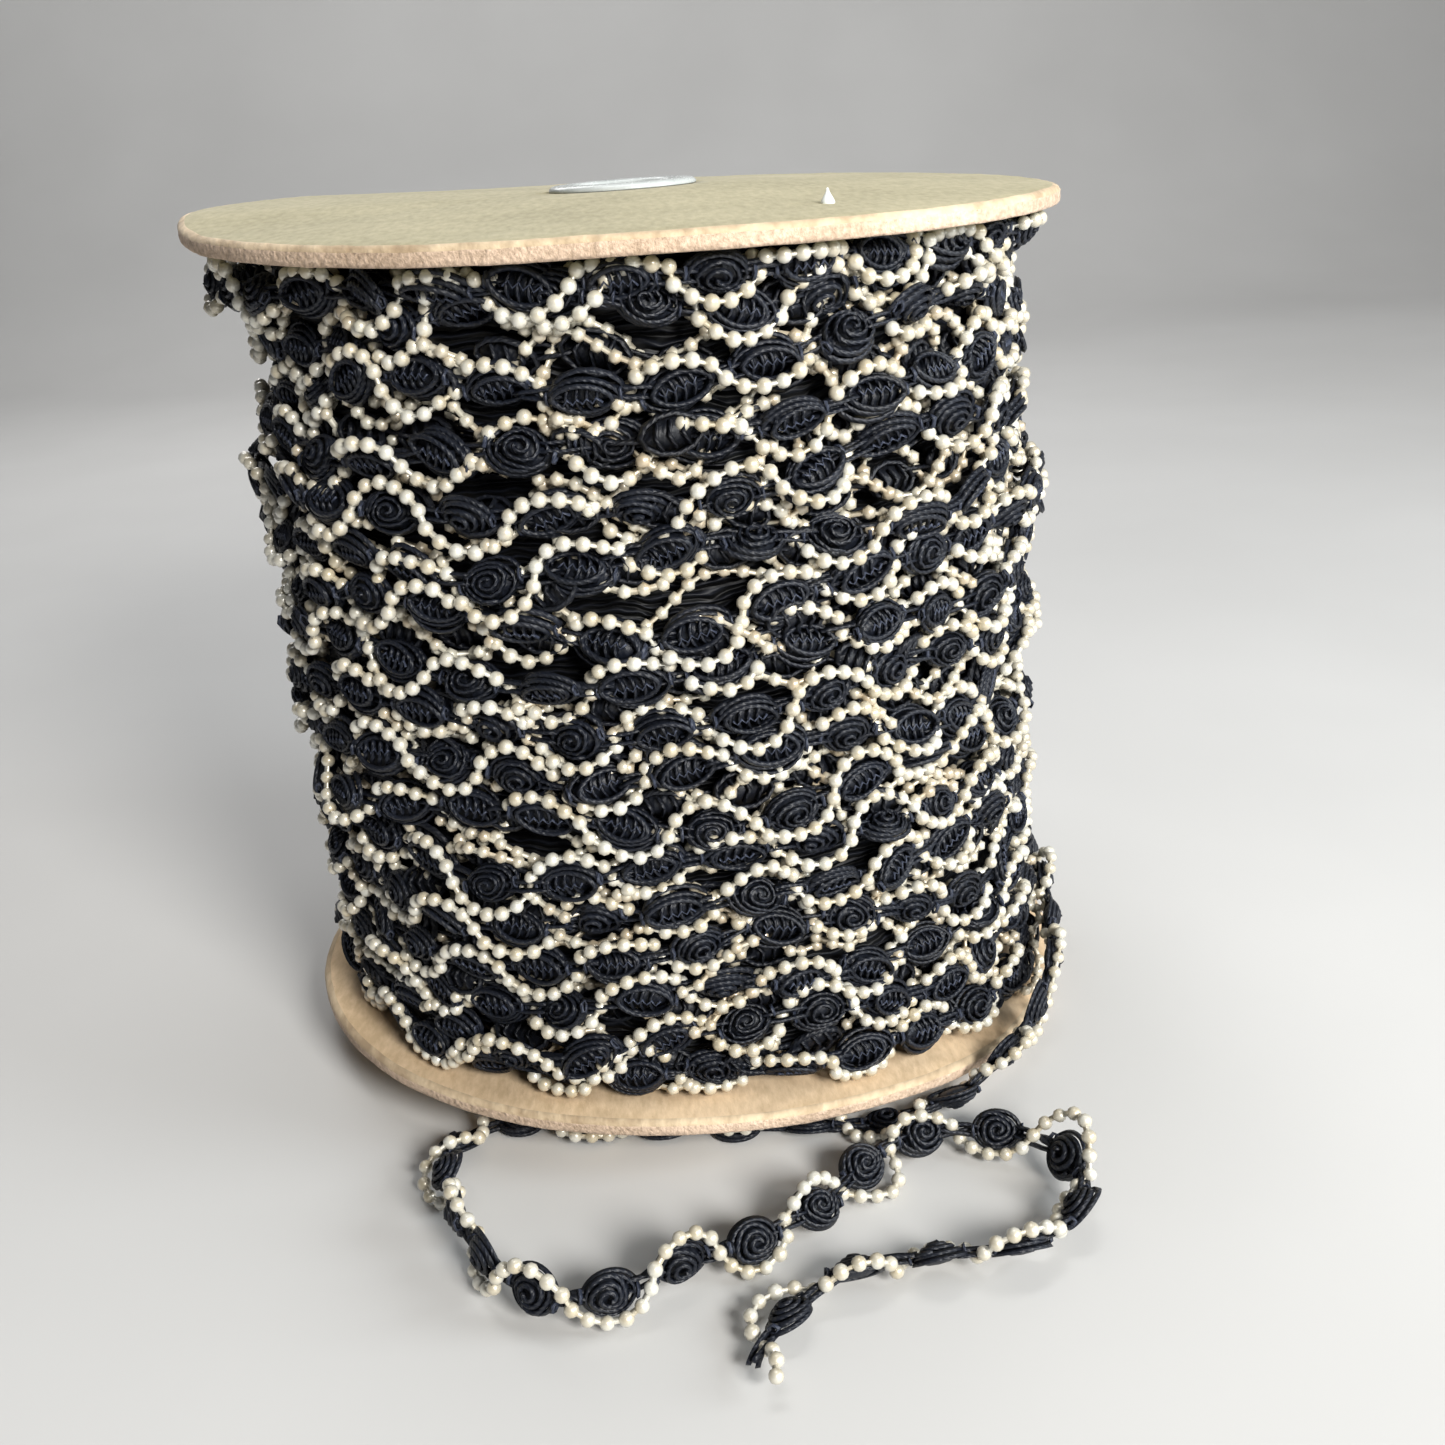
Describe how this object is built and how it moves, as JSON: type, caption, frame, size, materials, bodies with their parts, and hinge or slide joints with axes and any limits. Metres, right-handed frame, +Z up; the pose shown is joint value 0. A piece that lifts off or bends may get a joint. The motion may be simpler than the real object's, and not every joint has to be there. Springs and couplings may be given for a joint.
{
  "type": "roll of rosette trim on a spool",
  "caption": "Card spool wound with a black corded rosette trim edged by a waving ivory pearl chain, standing on end with its loose end lying in front",
  "frame": {"origin": "on the surface that the spool stands on, under the middle of its lower hub ring", "axes": "+Z up along the spool's axis, -Y towards the side where the loose end lies, +X to the right of that side"},
  "size_m": [0.152, 0.2026, 0.1553],
  "materials": {
    "card": "raw pressed card, fibres and a rough cut edge",
    "core_card": "raw wound card tube",
    "hub": "smooth and glossy",
    "trim": "twisted satin cord with a cool sheen",
    "pearl": "pearl coat"
  },
  "bodies": {
    "root": {"flange_top": "card", "flange_bottom": "card", "core_tube": "core_card", "hub_ring_top": "hub", "hub_ring_bottom": "hub", "trim_roll": "trim", "trim_tail": "trim"}
  },
  "joints": []
}
